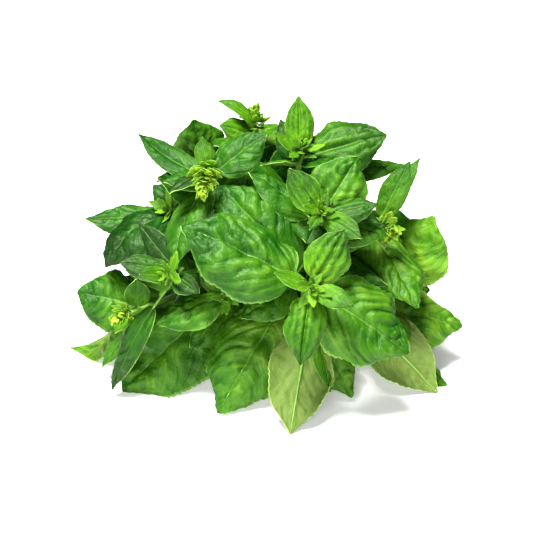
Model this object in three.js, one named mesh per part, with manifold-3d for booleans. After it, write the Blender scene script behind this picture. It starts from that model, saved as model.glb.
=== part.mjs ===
// A bunch of cut sweet basil, laid on a table: fourteen leafy stems, gathered at their cut ends and
// fanning out into a round mound of leaves. Each stem is one solid, with its own leaves grown into it.
// Millimetres, +Z up. The table is Z = 0, the cut ends point along +Y, and the mound faces -Y.
import * as THREE from "three";
import { mergeVertices } from "three/addons/utils/BufferGeometryUtils.js";
import Module from "manifold-3d";

const wasm = await Module();
wasm.setup();

const BLADE_THICKNESS = 0.8;
const STALK_THICKNESS = 1.8;
const STALK_HALF_WIDTH = 1.0;
const TIP_HALF_WIDTH = 0.5;
const STALK_SHARE = 0.13; // how much of a leaf's length is its bare stalk
const STEM_STRAIGHT_RUN = 95; // how far a stem runs straight in from its cut end
const STEM_SEGMENTS = 10;
const SHOOT_RADIUS = 1.1; // the stem just under its growing tip
const CLEARANCE = 0.5; // the least gap left between two stems' leaves
const CENTRE = [-1.52, 34.3, 0]; // the middle of the bunch's footprint, moved to the origin at the end
const GREEN = 0x4f9a2c;

// Each leaf: how far below the stem's tip it grows, where its own tip is, which way its upper face looks,
// and its width; then, in degrees, how much it droops along its rib, how far its halves rise from the rib
// as a shallow V, and how far their margins curl back down.
const leaf = (below, tip, face, width, droop, fold, cup, stalk = STALK_SHARE) => ({
  below, tip, face, width, droop, fold, cup, stalk,
});

// Each stem: its cut end, its growing tip and the way that tip points, its thickness at the cut end, what it
// ends in, its leaves placed one by one, and how far below the tip its lower pairs of leaves grow.
const STEMS = {
  front: {
    cut: [0, 158, 8.2], tip: [24, -75, 83], points: [0.05, -0.87, 0.5], thickness: 4.0, ends: "shoot",
    leaves: [
      leaf(3, [4, -76, 93], [0.1, -0.5, 0.8], 10, 25, 10, 30),
      leaf(3, [46, -85, 78], [0.1, -0.7, 0.7], 13, 25, 10, 30),
      leaf(8, [42, -56, 108], [0.1, -0.9, 0.4], 24, 25, 12, 45),
      leaf(8, [18, -93, 46], [0, -0.7, 0.7], 25, 40, 25, 40),
      leaf(17, [-46, -48, 106], [-0.1, -0.5, 0.85], 56, 30, 14, 45),
      leaf(17, [77, -76, 42], [0.2, -0.75, 0.65], 54, 30, 14, 45),
      leaf(38, [-27, -13, 112], [-0.1, -0.6, 0.8], 60, 80, 14, 60),
      leaf(60, [-27, -72, 0], [-0.1, -0.8, 0.6], 57, 50, 14, 60, 0.25),
      leaf(50, [-14, -52, 50], [0, -0.6, 0.8], 26, 40, 14, 50),
    ],
    pairs: [66],
  },
  top_front: {
    cut: [9, 153, 8.2], tip: [30, -42, 111], points: [0.1, -0.7, 0.7], thickness: 4.0, ends: "shoot",
    leaves: [
      leaf(4, [12, -29, 131], [-0.2, -0.7, 0.6], 18, 20, 15, 30),
      leaf(4, [51, -58, 104], [0.1, -0.8, 0.6], 14, 25, 15, 30),
      leaf(2, [23, -56, 108], [0, -0.8, 0.7], 6, 20, 10, 20),
      leaf(10, [50, -15, 131], [0.2, -0.7, 0.7], 34, 25, 14, 40),
      leaf(10, [61, -34, 112], [0.1, -0.3, 1], 22, 30, 14, 50),
      leaf(16, [19, -41, 98], [0, -0.8, 0.7], 18, 30, 14, 40),
      leaf(26, [66, -36, 93], [0.2, -0.4, 0.9], 28, 50, 14, 60),
      leaf(26, [-10, -14, 121], [0, -0.1, 1], 28, 40, 14, 60),
    ],
    pairs: [46, 72],
  },
  top: {
    cut: [7, 150, 20.4], tip: [20, 8, 125], points: [0.1, -0.3, 0.95], thickness: 3.6, ends: "shoot",
    leaves: [
      leaf(6, [18, 22, 151], [0, -0.9, 0.4], 17, 10, 15, 30),
      leaf(8, [68, 17, 129], [0, -0.65, 0.75], 37, 25, 14, 50),
      leaf(4, [4, 8, 135], [0.3, -0.4, 0.8], 9, 20, 10, 30),
      leaf(14, [-3, -13, 125], [0, 0.6, 0.8], 16, 25, 14, 30),
      leaf(14, [43, -10, 125], [0.1, 0.1, 1], 18, 30, 14, 50),
      leaf(16, [8, 29, 133], [0, -0.8, 0.7], 16, 30, 14, 50),
      leaf(27, [80, 22, 107], [0, -0.3, 1], 22, 30, 14, 50),
    ],
    pairs: [44, 66],
  },
  top_back: {
    cut: [3, 155, 14.6], tip: [-6, 42, 123], points: [-0.05, 0.15, 1], thickness: 3.8, ends: "bud",
    leaves: [
      leaf(5, [-29, 42, 139], [0.1, -0.3, 1], 10, 100, 14, 30),
      leaf(9, [-27, 32, 128], [-0.2, -0.6, 0.8], 20, 50, 14, 50),
      leaf(9, [11, 35, 126], [0.3, 0, 1], 15, 40, 14, 50),
      leaf(16, [-30, 15, 123], [0, -0.1, 1], 30, 45, 14, 60),
      leaf(16, [4, 76, 108], [0, 0.3, 1], 28, 45, 14, 60),
    ],
    pairs: [32, 54, 78],
  },
  upper_left: {
    cut: [0, 146, 20.4], tip: [-33, -20, 126], points: [-0.1, -0.75, 0.65], nods: [-0.1, -0.95, -0.3],
    thickness: 3.6, ends: "spike",
    leaves: [
      leaf(16, [-72, 12, 132], [0.2, -0.5, 0.8], 18, -50, 35, 30),
      leaf(14, [0, 2, 137], [-0.1, -0.6, 0.8], 26, 20, 14, 45),
      leaf(8, [-36, -6, 139], [0, -0.8, 0.6], 12, 30, 10, 40),
      leaf(8, [-53, -32, 117], [-0.3, 0, 1], 14, 30, 30, 30),
      leaf(24, [-50, -46, 79], [-0.6, -0.6, 0.55], 29, 70, 14, 40),
      leaf(22, [-57, -16, 116], [-0.3, -0.3, 0.9], 20, 40, 14, 50),
    ],
    pairs: [52, 76],
  },
  left: {
    cut: [-9, 160, 8.2], tip: [-54, -50, 76], points: [-0.5, -0.8, 0.3], thickness: 4.0, ends: "shoot",
    leaves: [
      leaf(3, [-69, -57, 81], [-0.1, -0.7, 0.7], 10, 25, 12, 30),
      leaf(7, [-81, -44, 81], [-0.1, -0.5, 0.9], 17, 25, 14, 40),
      leaf(7, [-37, -59, 70], [0.2, -0.6, 0.7], 17, 30, 14, 40),
      leaf(12, [-71, -18, 91], [-0.5, -0.7, 0.4], 16, 20, 14, 40),
      leaf(12, [-87, -56, 5], [-0.7, -0.6, 0.4], 19, 30, 35, 40, 0.3),
    ],
    pairs: [34, 62],
  },
  low_left: {
    cut: [-13, 157, 2.2], tip: [-78, -37, 43], points: [-0.6, -0.75, 0.1], thickness: 4.4, ends: "bud",
    leaves: [
      leaf(9, [-73, -33, 64], [0, -0.9, 0.5], 15, 20, 20, 30),
      leaf(15, [-108, -21, 48], [-0.2, -0.7, 0.7], 41, 35, 14, 60),
      leaf(3, [-84, -55, 42], [-0.2, -0.6, 0.7], 8, 20, 10, 30),
      leaf(17, [-116, -5, -7], [-0.1, -0.2, 1], 26, -30, 14, 30),
      leaf(17, [-94, -38, 8], [-0.5, -0.6, 0.6], 15, 20, 40, 30),
    ],
    pairs: [42, 72],
  },
  low_front_left: {
    cut: [-5, 154, 14.6], tip: [-22, -55, 66], points: [-0.2, -0.85, 0.5], thickness: 3.8, ends: "shoot",
    leaves: [
      leaf(10, [-60, -56, 48], [0, -0.2, 1], 30, 30, 14, 60),
      leaf(56, [-82, -51, -1], [-0.15, -0.6, 0.8], 60, 45, 14, 50, 0.28),
    ],
    pairs: [48, 78],
  },
  low_front: {
    cut: [-4.6, 162, 2.2], tip: [26, -55, 47], points: [0.15, -0.95, 0.25], thickness: 4.4, ends: "shoot",
    leaves: [
      leaf(12, [13, -93, 1], [0, 0.8, -0.6], 37, -20, 14, 30),
      leaf(12, [35, -78, 18], [0.5, -0.6, 0.6], 14, 30, 14, 50),
      leaf(26, [48, -61, 3], [0.2, -0.7, 0.6], 32, 40, 14, 60),
    ],
    pairs: [44, 74],
  },
  low_right: {
    cut: [3.4, 156, 2.2], tip: [58, -38, 44], points: [0.5, -0.85, 0.2], thickness: 4.4, ends: "shoot",
    leaves: [
      leaf(14, [113, -18, 23], [0.3, -0.5, 0.8], 44, 30, 14, 50),
      leaf(20, [97, -53, 1], [0, 0.7, -0.7], 36, -20, 14, 30),
      leaf(26, [103, -45, -5], [0, -0.1, 1], 42, 15, 14, 40),
    ],
    pairs: [52, 80],
  },
  right: {
    cut: [11, 147, 14.6], tip: [67, -15, 87], points: [0.3, -0.9, 0.3], thickness: 3.8, ends: "bud",
    leaves: [
      leaf(12, [81, 8, 117], [-0.2, -0.8, 0.6], 17, 15, 15, 40),
      leaf(14, [88, 22, 112], [-0.1, -0.2, 1], 14, 20, 14, 30),
      leaf(30, [84, -46, 53], [0.3, -0.6, 0.8], 38, 35, 14, 50),
    ],
    pairs: [50, 76],
  },
  far_left: {
    cut: [-12.6, 151, 14.6], tip: [-55, 0, 90], points: [-0.6, -0.5, 0.6], thickness: 3.8, ends: "shoot",
    leaves: [
      leaf(13, [-104, 4, 82], [-0.1, -0.35, 0.9], 27, 6, 14, 50),
      leaf(12, [-91, -23, 66], [-0.4, -0.3, 0.85], 50, 90, 14, 60),
    ],
    pairs: [35, 59],
  },
  back_left: {
    cut: [-7, 148, 20.4], tip: [-42, 48, 98], points: [-0.5, 0.2, 0.85], thickness: 3.6, ends: "shoot",
    leaves: [leaf(14, [-42, 36, 130], [0, -0.7, 0.7], 37, 30, 14, 60)],
    pairs: [8, 26, 48],
  },
  back_right: {
    cut: [11.6, 160, 2.2], tip: [86, 2, 37], points: [0.9, -0.3, 0.25], thickness: 4.4, ends: "shoot",
    leaves: [leaf(6, [96, 6, 83], [-0.3, -0.6, 0.7], 43, 40, 10, 40)],
    pairs: [28, 50, 74],
  },
};

const radians = THREE.MathUtils.degToRad;
const vector = (list) => new THREE.Vector3(...list);

// A closed three.js geometry as a solid that can be joined to others.
function solidOf(geometry) {
  const bare = geometry.clone();
  bare.deleteAttribute("normal");
  bare.deleteAttribute("uv");
  const merged = mergeVertices(bare, 1e-3);
  return new wasm.Manifold(
    new wasm.Mesh({
      numProp: 3,
      vertProperties: merged.attributes.position.array,
      triVerts: new Uint32Array(merged.index.array),
    }),
  );
}

// The path of a stem's centre line, from its cut end to its growing tip.
function stemPath({ cut, tip, points }) {
  const start = vector(cut);
  const end = vector(tip);
  const straight = new THREE.Vector3(-0.3 * cut[0], -STEM_STRAIGHT_RUN, 0).add(start);
  const approach = vector(points).normalize().multiplyScalar(-55).add(end);
  return new THREE.CubicBezierCurve3(start, straight, approach, end);
}

// The frame of a stem at a distance below its tip: the place, the way it grows, and two square directions.
function stemFrame(path, below) {
  const share = THREE.MathUtils.clamp(1 - below / path.getLength(), 0, 1);
  const along = path.getTangentAt(share);
  const side = new THREE.Vector3(1, 0, 0).addScaledVector(along, -along.x).normalize();
  return { at: path.getPointAt(share), along, side, up: along.clone().cross(side) };
}

// The stem itself: four flat sides, as in all mints, tapering to the shoot.
function stemSolid(path, thickness) {
  const length = path.getLength();
  const rod = new THREE.CylinderGeometry(1, 1, length, 4, STEM_SEGMENTS);
  rod.rotateY(Math.PI / 4);
  const corners = rod.attributes.position;
  for (let i = 0; i < corners.count; i++) {
    const share = corners.getY(i) / length + 0.5;
    const radius = THREE.MathUtils.lerp(thickness / 2, SHOOT_RADIUS, share) * Math.SQRT2;
    const frame = stemFrame(path, (1 - share) * length);
    const place = frame.at
      .addScaledVector(frame.side, corners.getX(i) * radius)
      .addScaledVector(frame.up, -corners.getZ(i) * radius);
    corners.setXYZ(i, ...place.toArray());
  }
  return solidOf(rod);
}

// Half the width of a blade, as a share of its widest, from the stalk (0) to the tip (1).
const outline = (v) => Math.sin(Math.PI * v ** 0.78) ** (0.55 + 0.2 * v);

// A point of a leaf's middle surface, and the way that its upper face looks there. `rise` is the share of
// the way along the leaf's rib, and `across` runs from -1 to 1 between its margins.
function bladePoint({ root, tip, face, width, droop, fold, cup, stalk }, rise, across) {
  const chord = tip.clone().sub(root);
  const reach = chord.length();
  const ahead = chord.divideScalar(reach);
  const normal = face.clone().addScaledVector(ahead, -face.dot(ahead)).normalize();
  const side = ahead.clone().cross(normal);
  const turn = radians(droop) || 0.01;
  const radius = reach / (2 * Math.sin(turn / 2));
  const start = ahead.clone().multiplyScalar(Math.cos(turn / 2)).addScaledVector(normal, Math.sin(turn / 2));
  const top = normal.clone().multiplyScalar(Math.cos(turn / 2)).addScaledVector(ahead, -Math.sin(turn / 2));
  const angle = turn * rise;
  const at = root
    .clone()
    .addScaledVector(start, radius * Math.sin(angle))
    .addScaledVector(top, radius * (Math.cos(angle) - 1));
  const up = top.multiplyScalar(Math.cos(angle)).addScaledVector(start, Math.sin(angle));
  const v = Math.max(0, (rise - stalk) / (1 - stalk));
  const least = THREE.MathUtils.lerp(STALK_HALF_WIDTH, TIP_HALF_WIDTH, v);
  const half = Math.max(least, (width / 2) * outline(v));
  const spread = Math.min(1, v * 5);
  const rising = radians(fold) * spread;
  const curl = radians(fold + cup) * spread || 0.01;
  const t = Math.abs(across);
  const out = (half * (Math.sin(rising) - Math.sin(rising - curl * t))) / curl;
  const lift = (half * (Math.cos(rising - curl * t) - Math.cos(rising))) / curl;
  const lean = rising - curl * t;
  const sign = Math.sign(across);
  return {
    at: at.addScaledVector(side, sign * out).addScaledVector(up, lift),
    up: up.clone().multiplyScalar(Math.cos(lean)).addScaledVector(side, -sign * Math.sin(lean)),
    thickness: v > 0 ? BLADE_THICKNESS : STALK_THICKNESS,
  };
}

// A leaf as a solid blade: a grid of rows along the rib, doubled by its thickness and closed round the rim.
// What would lie under the table is laid flat on it.
function bladeSolid(spec, rows, columns) {
  const grid = new THREE.PlaneGeometry(1, 1, columns, rows);
  const count = grid.attributes.position.count;
  const both = [];
  for (const sign of [1, -1])
    for (let i = 0; i < count; i++) {
      const row = Math.round((0.5 - grid.attributes.position.getY(i)) * rows);
      const v = (1 - Math.cos((Math.PI * (row - 1)) / (rows - 1))) / 2; // closer rows near both ends
      const rise = row === 0 ? 0 : spec.stalk + (1 - spec.stalk) * v;
      const point = bladePoint(spec, rise, grid.attributes.position.getX(i) * 2);
      const place = point.at.addScaledVector(point.up, (sign * point.thickness) / 2);
      const under = sign * point.up.z < 0;
      place.z = Math.max(place.z, under ? 0 : point.thickness);
      both.push(...place.toArray());
    }
  const upper = [...grid.index.array];
  const faces = [];
  for (let i = 0; i < upper.length; i += 3) {
    const [a, b, c] = upper.slice(i, i + 3);
    faces.push(a, c, b, a + count, b + count, c + count);
  }
  const wide = columns + 1;
  const rim = [];
  for (let c = 0; c < columns; c++) rim.push(c);
  for (let r = 0; r < rows; r++) rim.push(r * wide + columns);
  for (let c = columns; c > 0; c--) rim.push(rows * wide + c);
  for (let r = rows; r > 0; r--) rim.push(r * wide);
  rim.forEach((a, i) => {
    const b = rim[(i + 1) % rim.length];
    faces.push(b, a, a + count, b, a + count, b + count);
  });
  const shell = new THREE.BufferGeometry();
  shell.setAttribute("position", new THREE.Float32BufferAttribute(both, 3));
  shell.setIndex(faces);
  return solidOf(shell);
}

// A leaf's root is on its stem's centre line, so that its stalk is sunk well into the stem.
const rooted = (path, { tip, face, ...rest }) => ({
  ...rest,
  root: stemFrame(path, rest.below).at,
  tip: vector(tip),
  face: vector(face),
});

// The grid for a leaf: the wide ones need more columns to show their curl.
function leafSolid(spec) {
  if (spec.width >= 38) return bladeSolid(spec, 6, 4);
  if (spec.width >= 22) return bladeSolid(spec, 5, 4);
  return bladeSolid(spec, spec.width >= 14 ? 5 : 4, 2);
}

// A growing tip or a young flower head: tiers of small pointed leaves crowded round the end of the stem.
function headSolids(path, { tiers, height, spread, bract }, nods) {
  const { at, along, side, up } = stemFrame(path, 0);
  if (nods) {
    along.copy(vector(nods)).normalize();
    side.addScaledVector(along, -side.dot(along)).normalize();
    up.copy(along).cross(side);
  }
  const core = new THREE.IcosahedronGeometry(1, 0);
  core.scale(spread * 0.55, spread * 0.55, height * 0.6);
  core.translate(0, 0, height * 0.3);
  const parts = [core];
  for (let tier = 0; tier < tiers; tier++)
    for (let k = 0; k < 4; k++) {
      const rise = tiers > 1 ? tier / (tiers - 1) : 0;
      const cone = new THREE.ConeGeometry(bract * 0.3, bract, 3, 1);
      cone.translate(0, bract * 0.5, 0);
      cone.scale(1, 1, 0.55);
      cone.rotateX(radians(75 - 50 * rise));
      cone.translate(0, spread * (0.05 - 0.05 * rise), height * (0.1 + 0.7 * rise));
      cone.rotateZ((k + tier / 2) * (Math.PI / 2) + 0.3);
      parts.push(cone);
    }
  const place = new THREE.Matrix4().makeBasis(side, up, along).setPosition(at);
  return parts.map((part) => solidOf(part.applyMatrix4(place)));
}

const HEADS = {
  shoot: { tiers: 1, height: 4, spread: 3.4, bract: 5 },
  bud: { tiers: 3, height: 9, spread: 6.5, bract: 7 },
  spike: { tiers: 3, height: 18, spread: 7, bract: 7.5 },
};

// A lower leaf, one of a pair on opposite sides of its stem, as it would grow with nothing in its way,
// turned by `yaw` about the stem and opened by `pitch` away from it.
function pairedLeaf(path, below, quarter, { yaw, pitch, size }) {
  const { at, along, side, up } = stemFrame(path, below);
  const about = radians(quarter * 90 + yaw);
  const out = side.multiplyScalar(Math.cos(about)).addScaledVector(up, Math.sin(about));
  const open = radians(pitch);
  const length = Math.min(58, 24 + below * 0.5) * size;
  const tip = at.clone().addScaledVector(along, length * Math.cos(open));
  tip.addScaledVector(out, length * Math.sin(open));
  const face = along.multiplyScalar(Math.sin(open)).addScaledVector(out, -Math.cos(open));
  return { below, root: at, tip, face, width: length * 0.6, droop: 40, fold: 14, cup: 45, stalk: STALK_SHARE };
}

// The ways that a lower leaf may turn aside from its neighbours, the least first.
const TURNS = [1, 0.85, 0.7, 0.55].flatMap((size) =>
  [0, 25, -25, 50, -50].flatMap((yaw) => [55, 75, 35, 95].map((pitch) => ({ yaw, pitch, size }))),
);

// Whether two solids come nearer to each other than the clearance.
function touches(a, b) {
  const one = a.boundingBox();
  const two = b.boundingBox();
  for (let i = 0; i < 3; i++)
    if (one.min[i] > two.max[i] + CLEARANCE || two.min[i] > one.max[i] + CLEARANCE) return false;
  return a.minGap(b, CLEARANCE) < CLEARANCE;
}

// Grow every stem with the leaves that are placed one by one, then let the lower pairs find room.
const grown = Object.entries(STEMS).map(([name, stem]) => {
  const path = stemPath(stem);
  const leaves = stem.leaves.map((spec) => leafSolid(rooted(path, spec)));
  const head = headSolids(path, HEADS[stem.ends], stem.nods);
  return { name, stem, path, body: [stemSolid(path, stem.thickness), ...head], leaves };
});
for (const plant of grown)
  plant.stem.pairs.forEach((below, step) => {
    const before = [...plant.leaves];
    for (const half of [0, 2]) {
      const others = grown.flatMap((other) =>
        other === plant ? before : [...other.body, ...other.leaves],
      );
      for (const turn of TURNS) {
        const spec = pairedLeaf(plant.path, below, (step % 2) + half, turn);
        const blade = bladeSolid(spec, 4, 2);
        if (blade.boundingBox().min[2] < 0.2) continue;
        if (others.some((other) => touches(blade, other))) continue;
        plant.leaves.push(blade);
        break;
      }
    }
  });

const group = new THREE.Group();
group.name = "basil_bunch";
for (const { name, body, leaves } of grown) {
  const shells = wasm.Manifold.union([...body, ...leaves]).decompose();
  const outer = shells.reduce((a, b) => (a.volume() > b.volume() ? a : b));
  const { vertProperties, triVerts } = outer.translate(CENTRE.map((mm) => -mm)).getMesh();
  const geometry = new THREE.BufferGeometry();
  geometry.setAttribute("position", new THREE.BufferAttribute(vertProperties, 3));
  geometry.setIndex(new THREE.BufferAttribute(triVerts, 1));
  const mesh = new THREE.Mesh(geometry, new THREE.MeshStandardMaterial({ color: GREEN, roughness: 0.5 }));
  mesh.name = `sprig_${name}`;
  group.add(mesh);
}

export default group;
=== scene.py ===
# %% [markdown]
# # A bunch of sweet basil
#
# Fourteen cut stems lie on a table with their leafy ends fanned out toward the viewer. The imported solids
# already say where each stem and each leaf is, with plain faceted blades. This lesson gives every one of
# those leaves its real surface: puckers between sunken veins, a finely toothed and waving margin, a satin
# upper face and a pale underside. It also shapes the square stems, the leaf stalks and the flower buds.
#
# The frame is loaded first. It holds the solids, in metres, with +Z up.

# %% Load the frame
import math
import random

import bmesh
import bpy
import numpy as np
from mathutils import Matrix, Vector, kdtree, noise


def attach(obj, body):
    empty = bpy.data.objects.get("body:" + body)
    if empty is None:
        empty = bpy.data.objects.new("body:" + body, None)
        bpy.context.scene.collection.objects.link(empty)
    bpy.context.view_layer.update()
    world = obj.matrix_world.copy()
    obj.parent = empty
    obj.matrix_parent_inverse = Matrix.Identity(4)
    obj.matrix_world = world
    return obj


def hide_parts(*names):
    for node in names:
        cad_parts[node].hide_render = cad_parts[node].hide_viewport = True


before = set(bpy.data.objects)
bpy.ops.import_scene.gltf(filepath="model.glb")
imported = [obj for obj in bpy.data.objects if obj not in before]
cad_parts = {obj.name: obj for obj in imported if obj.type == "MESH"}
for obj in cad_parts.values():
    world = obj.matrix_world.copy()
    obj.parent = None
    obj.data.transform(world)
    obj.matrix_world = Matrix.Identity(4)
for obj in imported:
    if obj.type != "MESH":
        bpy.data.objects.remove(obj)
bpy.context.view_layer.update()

MM = 0.001
random.seed(7)

# %% [markdown]
# ## Where the stems and leaves are
#
# Basil is a mint: its stem is square, and its leaves grow in pairs on opposite sides, each pair a quarter
# turn from the last. A stem here is a smooth curve from its cut end to its growing tip. A leaf is named by
# how far below the tip it grows, where its own tip is, which way its upper face looks and how wide it is.
# Three angles follow: how much it droops along its rib, how far its halves rise beside the rib as a shallow
# V, and how far its margins curl down. The last number is its tone, from 0, dark, to 1, pale yellow-green. It
# holds the leaf's age, old and dark or fresh and yellow-green, and also painted light and shade. It is lower
# as painted shade on leaves that lie in the shadow of others, and higher as painted light on some that the
# lamps leave dim. Some leaves say more: how much of their length is bare stalk, how strongly the blade swells
# between its veins, and how young it looks, from 0 to 1.
#
# These are the places of the solids, in millimetres, so nothing is fitted by eye. Five leaves at the front
# differ a little from theirs: they are folded and curled more, or a few millimetres wider, to close gaps.

# %% How one leaf is written down
CENTRE = np.array([-1.52, 34.3, 0.0])  # the place in the list below that is the frame's origin
STALK_SHARE = 0.13  # of the leaf's length
SIDE_VEINS = 5.2  # on each side of the rib


def slimness(width):
    """1 for a leaf up to 28 mm wide, which can still look young, falling to 0 at 42 mm."""
    return float(np.clip((42 - width) / 14, 0, 1))


def leaf(below, tip, face, width, droop, fold, cup, tone, stalk=STALK_SHARE, swell=0.85, young=None):
    """Unless told, a slim leaf looks quite young up to 6 mm below the stem's tip, and no longer at 15 mm."""
    if young is None:
        young = float(np.clip((15 - below) / 9, 0, 1)) * slimness(width)
    return dict(below=below, tip=np.array(tip, float), face=np.array(face, float), width=width, droop=droop,
                fold=fold, cup=cup, tone=tone, stalk=stalk, veins=SIDE_VEINS, swell=swell, young=young)


print("how young leaves of 20, 30 and 40 mm may look:", [round(slimness(width), 2) for width in (20, 30, 40)])
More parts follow.
